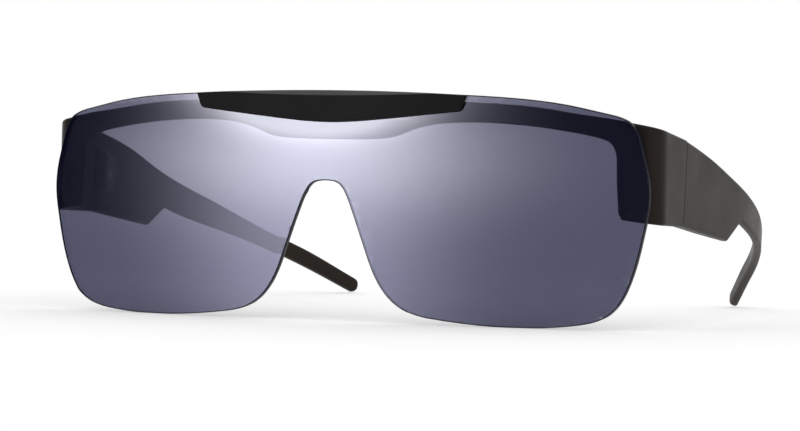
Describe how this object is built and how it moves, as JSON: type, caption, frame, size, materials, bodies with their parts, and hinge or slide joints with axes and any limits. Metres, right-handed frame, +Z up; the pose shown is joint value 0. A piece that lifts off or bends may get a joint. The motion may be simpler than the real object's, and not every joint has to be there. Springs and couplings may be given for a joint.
{
  "type": "fitover sunglasses",
  "caption": "Wraparound fitover sunglasses with a tinted shield lens, a brow bar and folding temples.",
  "frame": {"origin": "on the table, under the middle of the box around the open glasses", "axes": "+X towards the wearer's left, +Y back along the temples towards the wearer, +Z up"},
  "size_m": [0.1524, 0.1334, 0.0516],
  "materials": {
    "tinted_lens": "gloss",
    "frame_plastic": "satin",
    "brow_plastic": "satin",
    "temple_plastic": "satin",
    "hinge_steel": "brushed",
    "screw_steel": "satin"
  },
  "bodies": {
    "front": {"shield_lens": "tinted_lens", "front_frame": "frame_plastic", "brow_bar": "brow_plastic", "front_hinge_leaf_left": "hinge_steel", "hinge_pivot_screw_left": "screw_steel", "clamp_screw_left": "screw_steel", "front_leaf_screw_left": "screw_steel", "front_hinge_leaf_right": "hinge_steel", "hinge_pivot_screw_right": "screw_steel", "clamp_screw_right": "screw_steel", "front_leaf_screw_right": "screw_steel"},
    "left_temple_arm": {"temple_left": "temple_plastic", "temple_hinge_leaf_left": "hinge_steel", "temple_leaf_screw_left": "screw_steel"},
    "right_temple_arm": {"temple_right": "temple_plastic", "temple_hinge_leaf_right": "hinge_steel", "temple_leaf_screw_right": "screw_steel"}
  },
  "joints": [
    {"name": "left_temple_fold", "type": "hinge", "parent": "front", "child": "left_temple_arm", "pos_m": [0.0716, -0.03818, 0.03205], "axis": [0, 0.1037, 0.9946], "range_deg": [0, 88]},
    {"name": "right_temple_fold", "type": "hinge", "parent": "front", "child": "right_temple_arm", "pos_m": [-0.0716, -0.03818, 0.03205], "axis": [0, -0.1037, -0.9946], "range_deg": [0, 78]}
  ]
}
